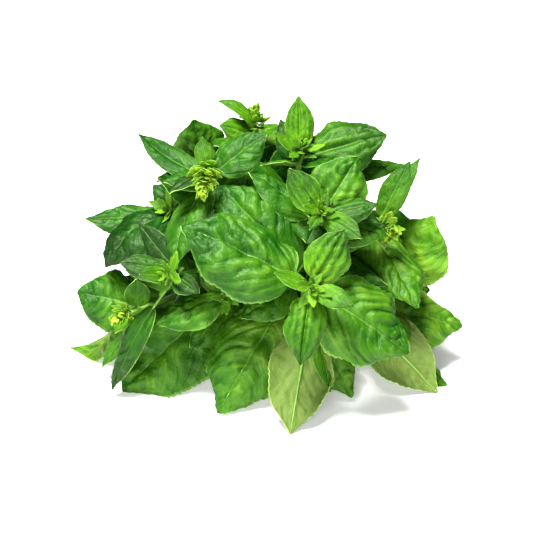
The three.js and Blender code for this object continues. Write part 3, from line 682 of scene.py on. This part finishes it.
def add_flower_head(bm, at, along, side, up, height, rng):
    """Whorls that get smaller and more upright toward the top. Each has two bracts under its ten cups."""
    whorls = round(height / WHORL_SPACING)
    for i in range(whorls):
        share = i / (whorls - 1)
        place = at + along * height * 0.95 * share
        width = 3.6 - 1.2 * share
        add_ring(bm, place, along, side, up, 2, 90 * i, 80 - 45 * share, 8.5 - 3.5 * share, width, 0.7, rng,
                 loose=20)
        add_ring(bm, place + along * 0.5, along, side, up, 10, 22 * i, 60 - 44 * share, 4.8 - 1.4 * share,
                 width, 0.9 + 0.15 * share, rng, loose=30, fold=20, cup=30, radius=0.6 + 2.6 * (1 - share))


def add_head(bm, stem, path, rng):
    """A head that nods turns away from its stem, and its square directions turn with it."""
    at, along, side, up = (a[0] for a in path.frame(0))
    if "nods" in stem:
        along = unit(np.array(stem["nods"], float))
        side = unit(side - along * (side @ along))
        up = np.cross(along, side)
    if stem["ends"] == "shoot":
        add_rosette(bm, at, along, side, up, rng)
    else:
        add_flower_head(bm, at, along, side, up, HEAD_HEIGHTS[stem["ends"]], rng)


print("how the stems end:", {name: stem["ends"] for name, stem in STEMS.items()})

# %% [markdown]
# ## Finishes
#
# Fresh basil has a thin waxy skin, so it shines softly and only in spots, on the crests of its quilting. An
# image of a leaf would repeat on all 119 of them, so these finishes are made of nodes that read the numbers
# each leaf keeps. Colours are written as they look on a screen and turned to linear light by one function,
# and the scale of each pattern comes from its real size in millimetres.

# %% Colour and node helpers
def srgb(text):
    value = [int(text[i:i + 2], 16) / 255 for i in (1, 3, 5)]
    return tuple(c / 12.92 if c <= 0.04045 else ((c + 0.055) / 1.055) ** 2.4 for c in value) + (1,)


def pattern_scale(size_mm):
    """The Scale of a texture in Object coordinates whose bumps or cells are this many mm across."""
    return 1 / (size_mm * MM)


def add_node(tree, kind, inputs=(), **settings):
    """Adds a node with its settings. Its inputs, in order or by name, are values, outputs, or nodes, which
    give their first output. None leaves an input alone."""
    node = tree.nodes.new("ShaderNode" + kind)
    for key, value in settings.items():
        setattr(node, key, value)
    for socket, value in inputs.items() if isinstance(inputs, dict) else enumerate(inputs):
        source = value.outputs[0] if isinstance(value, bpy.types.Node) else value
        if isinstance(source, bpy.types.NodeSocket):
            tree.links.new(source, node.inputs[socket])
        elif source is not None:
            node.inputs[socket].default_value = source
    return node


def set_stops(ramp, stops):
    elements = ramp.color_ramp.elements
    for _ in stops[2:]:
        elements.new(0.5)
    for element, (place, colour) in zip(elements, stops):
        element.position, element.color = place, srgb(colour)


def new_material(name):
    material = bpy.data.materials.new(name)
    material.use_nodes = True
    material.node_tree.nodes.clear()
    return material, material.node_tree


print("a leaf green in linear light:", [round(c, 3) for c in srgb("#688a2c")])

# %% [markdown]
# ## The finish of a leaf
#
# The upper face is dark where a leaf is old and yellow-green where it is young. A leaf in the shadow of
# others is darker still as painted shade, and so are the valleys of its veins. Two colour ramps hold the
# greens of old and young leaves, and "young" mixes them. The leaf's tone moves along a ramp, with soft
# mottling, streaks of partly painted light and shade, and a dip of painted shade at each side vein. Rib, side
# veins and the turned margin are painted paler over it, and the pale margin also stands for the light along
# the leaf's edge, as painted rim light. The underside is matt and pale, with a rib that stands out. Cross
# veins and the grain of the skin are too fine for the mesh, so a Bump node adds them.

# %% Where the veins are
def fade(tree, distance):
    """1 where the distance is 0, falling to 0 where it is 1 and staying there."""
    left = add_node(tree, "Math", [1, distance], operation="SUBTRACT")
    return add_node(tree, "Math", [left, 0], operation="MAXIMUM")


def vein_masks(tree, side_strength):
    """How far off a side vein is, 0.5 half way to the next, a mask of all veins, and two of the marks."""
    marks = add_node(tree, "Attribute", attribute_name="leaf")
    off_rib, count, share = add_node(tree, "SeparateXYZ", [marks.outputs["Vector"]]).outputs
    to_vein = add_node(tree, "Math", [count, 0.5], operation="PINGPONG")
    # a side vein fades out a twentieth of the way to the next, half a millimetre off in a large leaf
    side_vein = fade(tree, add_node(tree, "Math", [to_vein, 20], operation="MULTIPLY"))
    # the rib fades out 0.75 mm off its line at the root, and 0.2 mm off at the tip
    rib_width = add_node(tree, "Math", [share, -0.55, 0.75], operation="MULTIPLY_ADD")
    rib = add_node(tree, "Math", [off_rib], operation="ABSOLUTE")
    rib = fade(tree, add_node(tree, "Math", [rib, rib_width], operation="DIVIDE"))
    side_vein = add_node(tree, "Math", [side_vein, side_strength], operation="MULTIPLY")
    vein = add_node(tree, "Math", [side_vein, rib], operation="MAXIMUM")
    return to_vein, vein, count, off_rib


def streak_pattern(tree, place, count, off_rib):
    """Streaks beside the side veins: four to a vein, which is 1.5 to 3 mm apart, and 8 mm long."""
    across = add_node(tree, "Math", [count, 4], operation="MULTIPLY")
    along = add_node(tree, "Math", [off_rib, 0.12], operation="MULTIPLY")
    height = add_node(tree, "SeparateXYZ", [place]).outputs[2]
    leaf_by_leaf = add_node(tree, "Math", [height, pattern_scale(33)], operation="MULTIPLY")
    at = add_node(tree, "CombineXYZ", [across, along, leaf_by_leaf])
    return add_node(tree, "TexNoise", [at, None, 1.0, 2.0])


print("scale at which streaks change with height:", round(pattern_scale(33), 1))

# %% The green of a leaf
# the side veins lie in grooves, and the dip of the tone at them is painted shade
MOTTLE_SHADE, GROOVE_PAINTED_SHADE = 0.62, -0.06  # how far they move a point along its ramp
RAMP_SHARE = 0.66  # of the ramp, for a tone of 1: the rest is for mottling and streaks


def leaf_shade(tree, place, to_vein, streaks, streak_tint_and_shading):
    """Where on its colour ramp a point is: the leaf's tone, mottled, streaked with partly painted light and
    shade, and darker at side veins as painted shade in their grooves.
    """
    mottle = add_node(tree, "TexNoise", [place, None, pattern_scale(26), 4.0, 0.6])
    tone = add_node(tree, "Attribute", attribute_name="tone").outputs["Fac"]
    shade = add_node(tree, "Math", [mottle, MOTTLE_SHADE, -MOTTLE_SHADE / 2], operation="MULTIPLY_ADD")
    shade = add_node(tree, "Math", [shade, tone], operation="ADD")
    shade = add_node(tree, "Math", [shade, streak_tint_and_shading / 2], operation="SUBTRACT")
    # the streaks lighten the tone on the fine ridges of the bump and darken it between them: partly the
    # skin's own streaks, partly painted light and shade
    shade = add_node(tree, "Math", [streaks, streak_tint_and_shading, shade], operation="MULTIPLY_ADD")
    # painted shade in the groove of each side vein
    valley = fade(tree, add_node(tree, "Math", [to_vein, 6], operation="MULTIPLY"))
    shade = add_node(tree, "Math", [valley, GROOVE_PAINTED_SHADE, shade], operation="MULTIPLY_ADD")
    return add_node(tree, "Math", [shade, RAMP_SHARE], operation="MULTIPLY")


def leaf_colour(tree, shade, vein, stops, young_stops, vein_colour, vein_strength, hem_rim_light_strength):
    old = add_node(tree, "ValToRGB", [shade])
    set_stops(old, stops)
    fresh = add_node(tree, "ValToRGB", [shade])
    set_stops(fresh, young_stops)
    young = add_node(tree, "Attribute", attribute_name="young").outputs["Fac"]
    green = add_node(tree, "Mix", {0: young, 6: old, 7: fresh}, data_type="RGBA")
    veins = add_node(tree, "Math", [vein, vein_strength], operation="MULTIPLY")
    pale = srgb(vein_colour)
    veined = add_node(tree, "Mix", {0: veins, 6: green.outputs[2], 7: pale}, data_type="RGBA")
    # the last fourteenth of each half is the margin, turned down, thin and paler, and its paleness also
    # stands for the light along the leaf's edge: partly its own colour, partly painted rim light
    across = add_node(tree, "SeparateXYZ", [add_node(tree, "UVMap", uv_map="LeafUV")])
    to_margin = add_node(tree, "Math", [across, 2, -1], operation="MULTIPLY_ADD")
    to_margin = add_node(tree, "Math", [to_margin], operation="ABSOLUTE")
    hem_rim_light = add_node(tree, "Math", [to_margin, 14, -13], operation="MULTIPLY_ADD")
    hem_rim_light = add_node(tree, "Math", [hem_rim_light, 0], operation="MAXIMUM")
    hem_rim_light = add_node(tree, "Math", [hem_rim_light, hem_rim_light_strength], operation="MULTIPLY")
    hemmed = add_node(tree, "Mix", {0: hem_rim_light, 6: veined.outputs[2], 7: pale}, data_type="RGBA")
    return hemmed.outputs[2]


# the greyer palest greens of the old ramp, reached on the swellings, stand partly for the pale sheen of the
# wax: painted highlight
UPPER_STOPS_AND_SHEEN = [(0.0, "#042800"), (0.2, "#124a00"), (0.38, "#3c6a0c"), (0.52, "#688a2c"), (0.68, "#92a656"),
               (0.9, "#bec48c")]
YOUNG_STOPS = [(0.0, "#0a3400"), (0.2, "#2c5a00"), (0.38, "#4e7e06"), (0.52, "#6c9810"), (0.68, "#94b222"),
               (0.9, "#bccc48")]
UNDER_STOPS = [(0.0, "#5c7032"), (0.3, "#789048"), (0.6, "#96ac5e"), (0.85, "#b2c478")]
print("greens in the ramps:", len(UPPER_STOPS_AND_SHEEN), "old,", len(YOUNG_STOPS), "young,", len(UNDER_STOPS), "under")

# %% Leaf finishes
LEAF_BUMP_HEIGHT = 0.5 * MM


def leaf_bump(tree, place, vein, streaks, strength):
    """Cross veins 2.4 mm apart, streaks, and a skin grain of 1.7 mm, coarser than life so that it shows."""
    cells = add_node(tree, "TexVoronoi", [place, None, pattern_scale(2.4)], feature="DISTANCE_TO_EDGE")
    grain = add_node(tree, "TexNoise", [place, None, pattern_scale(1.7), 2.0])
    height = add_node(tree, "Math", [cells, 0.25], operation="MINIMUM")
    height = add_node(tree, "Math", [vein, -0.7, height], operation="MULTIPLY_ADD")
    height = add_node(tree, "Math", [grain, 1.2, height], operation="MULTIPLY_ADD")
    height = add_node(tree, "Math", [streaks, 1.5, height], operation="MULTIPLY_ADD")
    return add_node(tree, "Bump", {"Strength": strength, "Distance": LEAF_BUMP_HEIGHT, "Height": height})


def leaf_material(name, stops, young_stops, vein_colour, rib_shows, side_veins_show, hem_rim_light_shows, streak_tint_and_shading,
                  roughness, bump):
    material, tree = new_material(name)
    place = add_node(tree, "TexCoord").outputs["Object"]
    to_vein, vein, count, off_rib = vein_masks(tree, side_veins_show)
    streaks = streak_pattern(tree, place, count, off_rib)
    shade = leaf_shade(tree, place, to_vein, streaks, streak_tint_and_shading)
    colour = leaf_colour(tree, shade, vein, stops, young_stops, vein_colour, rib_shows, hem_rim_light_shows)
    shader = add_node(tree, "BsdfPrincipled", {
        "Base Color": colour, "Normal": leaf_bump(tree, place, vein, streaks, bump), "Roughness": roughness,
        "Specular IOR Level": 0.42, "Specular Tint": srgb("#e8f6cc"), "Subsurface Weight": 0.1,
        "Subsurface Radius": (0.4, 1.0, 0.15), "Subsurface Scale": 2 * MM})
    add_node(tree, "OutputMaterial", [shader])
    return material


# the upper skin's wax gives soft greenish lights on the swellings, and the valleys are deep green, partly as
# painted shade
upper = leaf_material("basil_leaf_waxy_upper", UPPER_STOPS_AND_SHEEN, YOUNG_STOPS, "#9cc768", rib_shows=0.25,
                      side_veins_show=0.25, hem_rim_light_shows=0.4, streak_tint_and_shading=0.36, roughness=0.52, bump=0.55)
# the underside has no wax and fine hairs: it looks matt and pale, and its rib is the brightest line
under = leaf_material("basil_leaf_matt_under", UNDER_STOPS, UNDER_STOPS, "#d3e3a4", rib_shows=0.5,
                      side_veins_show=0.15, hem_rim_light_shows=0.12, streak_tint_and_shading=0.14, roughness=0.6, bump=0.4)
print("nodes in a leaf's finish:", len(upper.node_tree.nodes))

# %% [markdown]
# ## The finish of rims and stems
#
# The thin edge of a blade lets light through, so it looks paler than the leaf. A stem is smooth, juicy and
# yellower than the leaves, with pale patches. Both are two greens mixed by a soft noise, which is also a
# faint bump.

# %% Rim and stem
def plain_plant_material(name, low, high, roughness, mottle_mm):
    material, tree = new_material(name)
    place = add_node(tree, "TexCoord").outputs["Object"]
    mottle = add_node(tree, "TexNoise", [place, None, pattern_scale(mottle_mm), 3.0])
    green = add_node(tree, "ValToRGB", [mottle])
    set_stops(green, [(0.3, low), (0.7, high)])
    bump = add_node(tree, "Bump", {"Strength": 0.3, "Distance": 0.4 * MM, "Height": mottle})
    shader = add_node(tree, "BsdfPrincipled", {"Base Color": green, "Normal": bump, "Roughness": roughness})
    add_node(tree, "OutputMaterial", [shader])
    return material


# the edge of a blade draws a fine pale line round each leaf
rim = plain_plant_material("basil_leaf_cut_rim", "#8fbb4a", "#a8cc62", roughness=0.55, mottle_mm=5)
# a fresh stem is smoother than a leaf, so its flat sides catch long soft lights
stalk = plain_plant_material("basil_square_stem", "#5f9030", "#8ab452", roughness=0.45, mottle_mm=11)
print("finishes:", [material.name for material in (upper, under, rim, stalk)])

# %% [markdown]
# ## Put the sprigs together
#
# Each sprig becomes three pieces: its leaves, its stem with the stalks and ribs, and its growing tip. The
# leaves are drawn as a single skin, and a Solidify modifier gives it thickness, with the underside and the
# edge in finishes of their own, which saves drawing both faces. A real blade is about 0.3 mm thick. Leaves
# placed one by one have a finer grid than the pairs behind them.

# %% One piece
LEAF_THICKNESS, TINY_LEAF_THICKNESS = 0.4, 0.25
FINE_STEP, COARSE_STEP = 1.0, 1.7  # mm between the points of a leaf's grid


def new_bmesh():
    bm = bmesh.new()
    bm.verts.layers.float_vector.new("leaf")
    bm.verts.layers.float.new("tone")
    bm.verts.layers.float.new("young")
    bm.loops.layers.uv.new("LeafUV")
    return bm


def add_object(name, data):
    made = bpy.data.objects.new(name, data)
    bpy.context.scene.collection.objects.link(made)
    return made


def mesh_object(bm, name, materials):
    mesh = bpy.data.meshes.new(name)
    bm.to_mesh(mesh)
    bm.free()
    for material in materials:
        mesh.materials.append(material)
    return add_object(name, mesh)


def make_piece(bm, name, materials, node, thickness=None):
    """A skin with a thickness keeps the side it was drawn on. Closed tubes get normals that point out."""
    if thickness is None:
        bmesh.ops.recalc_face_normals(bm, faces=bm.faces)
    for face in bm.faces:
        face.smooth = True
    piece = mesh_object(bm, name, materials)
    if thickness:
        skin = piece.modifiers.new("blade", "SOLIDIFY")
        skin.thickness, skin.offset = thickness * MM, 0
        skin.material_offset, skin.material_offset_rim = 1, 2
        skin.use_rim = True
    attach(piece, "root")
    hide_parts(node)
    return piece


print("thickness of a blade:", LEAF_THICKNESS, "mm, of a tiny leaf:", TINY_LEAF_THICKNESS, "mm")

# %% All the sprigs
def make_sprig(name, stem):
    rng = random.Random(name)
    path, node = PATHS[name], f"sprig_{name}"
    leaves, stems = new_bmesh(), new_bmesh()
    add_stem(stems, stem, path, LEAVES[name])
    for spec in LEAVES[name]:
        seed = rng.uniform(0, 60)
        add_leaf(leaves, spec, FINE_STEP if "placed" in spec else COARSE_STEP, seed)
        add_stalk(stems, spec, seed)
    ends = [edge for edge in stems.edges if edge.is_boundary]
    bmesh.ops.holes_fill(stems, edges=ends, sides=0)
    head = new_bmesh()
    add_head(head, stem, path, rng)
    pieces = [make_piece(leaves, f"{name}_leaves", [upper, under, rim], node, LEAF_THICKNESS),
              make_piece(stems, f"{name}_stem", [stalk], node),
              make_piece(head, f"{name}_tip", [upper], node, TINY_LEAF_THICKNESS)]
    print(name, "faces:", [len(piece.data.polygons) for piece in pieces])


for name, stem in STEMS.items():
    make_sprig(name, stem)

# %% [markdown]
# ## Table
#
# The bunch lies on a plain white table, a single face far wider than the view. It glows a little by itself,
# so that it stays white beside the shadows. A bright world would do that too, but it would wash out the dark
# gaps between the leaves, so the world gives only a trace of light.

# %% Table
TABLE_HALF_WIDTH = 3.0
TABLE_GLOW = 0.25


def make_stage():
    # matt white laminate scatters the light, so it takes soft shadows and mirrors nothing; its faint glow is
    # painted light, which keeps it white and lights the leaves a little from below
    material, tree = new_material("matt_white_glowing_table")
    shader = add_node(tree, "BsdfPrincipled", {
        "Base Color": srgb("#f7f7f5"), "Roughness": 0.9, "Emission Color": (1, 1, 1, 1),
        "Emission Strength": TABLE_GLOW})
    add_node(tree, "OutputMaterial", [shader])
    bm = bmesh.new()
    bmesh.ops.create_grid(bm, x_segments=1, y_segments=1, size=TABLE_HALF_WIDTH)
    table = mesh_object(bm, "table_top", [material])


make_stage()
print("the table reaches", TABLE_HALF_WIDTH, "m to each side")

# %% [markdown]
# ## Two lamps
#
# A large round lamp nearly overhead, a little to the left, gives the soft lights on the leaves and the
# shadow at the right. A weaker one in front opens up the leaves that hang down toward the viewer. Lamps half
# a metre wide and more give shadows with soft edges, as a big softbox would.

# %% Light
SPRIG_MIDDLE = (0, -0.03, 0.06)
WORLD_LIGHT = 0.06


def add_light(name, place, size, power):
    data = bpy.data.lights.new(name, "AREA")
    data.shape, data.size, data.energy = "DISK", size, power
    lamp = add_object(name, data)
    lamp.location = place
    lamp.rotation_euler = (Vector(SPRIG_MIDDLE) - Vector(place)).to_track_quat("-Z", "Y").to_euler()


world = bpy.data.worlds.new("studio")
bpy.context.scene.world = world
world.use_nodes = True
background = world.node_tree.nodes["Background"]
background.inputs["Color"].default_value = srgb("#ffffff")
background.inputs["Strength"].default_value = WORLD_LIGHT
add_light("key", (-0.2, -0.18, 1.2), size=0.5, power=39)
add_light("front", (-0.3, -1.35, 0.5), size=0.7, power=14)
bpy.context.scene.view_settings.view_transform = "Standard"
bpy.context.scene.view_settings.look = "Medium High Contrast"
print("lamps, in watts:", {lamp.name: lamp.energy for lamp in bpy.data.lights})

# %% [markdown]
# ## Camera
#
# The viewer looks down at the bunch from a metre away, at 30 degrees. A long lens keeps the near leaves from
# looking too big.

# %% Camera
CAMERA_TARGET = Vector((0.00152, -0.0343, 0.053))
CAMERA_ELEVATION = math.radians(30)
CAMERA_DISTANCE = 1.0
CAMERA_LENS, CAMERA_SENSOR = 116.5, 36

camera_data = bpy.data.cameras.new("camera")
camera_data.lens, camera_data.sensor_width = CAMERA_LENS, CAMERA_SENSOR
camera = add_object("camera", camera_data)
way = Vector((0, -math.cos(CAMERA_ELEVATION), math.sin(CAMERA_ELEVATION)))
camera.location = CAMERA_TARGET + way * CAMERA_DISTANCE
camera.rotation_euler = (-way).to_track_quat("-Z", "Y").to_euler()
bpy.context.scene.camera = camera
print("the view is", round(CAMERA_DISTANCE * CAMERA_SENSOR / CAMERA_LENS, 3), "m wide at the bunch")
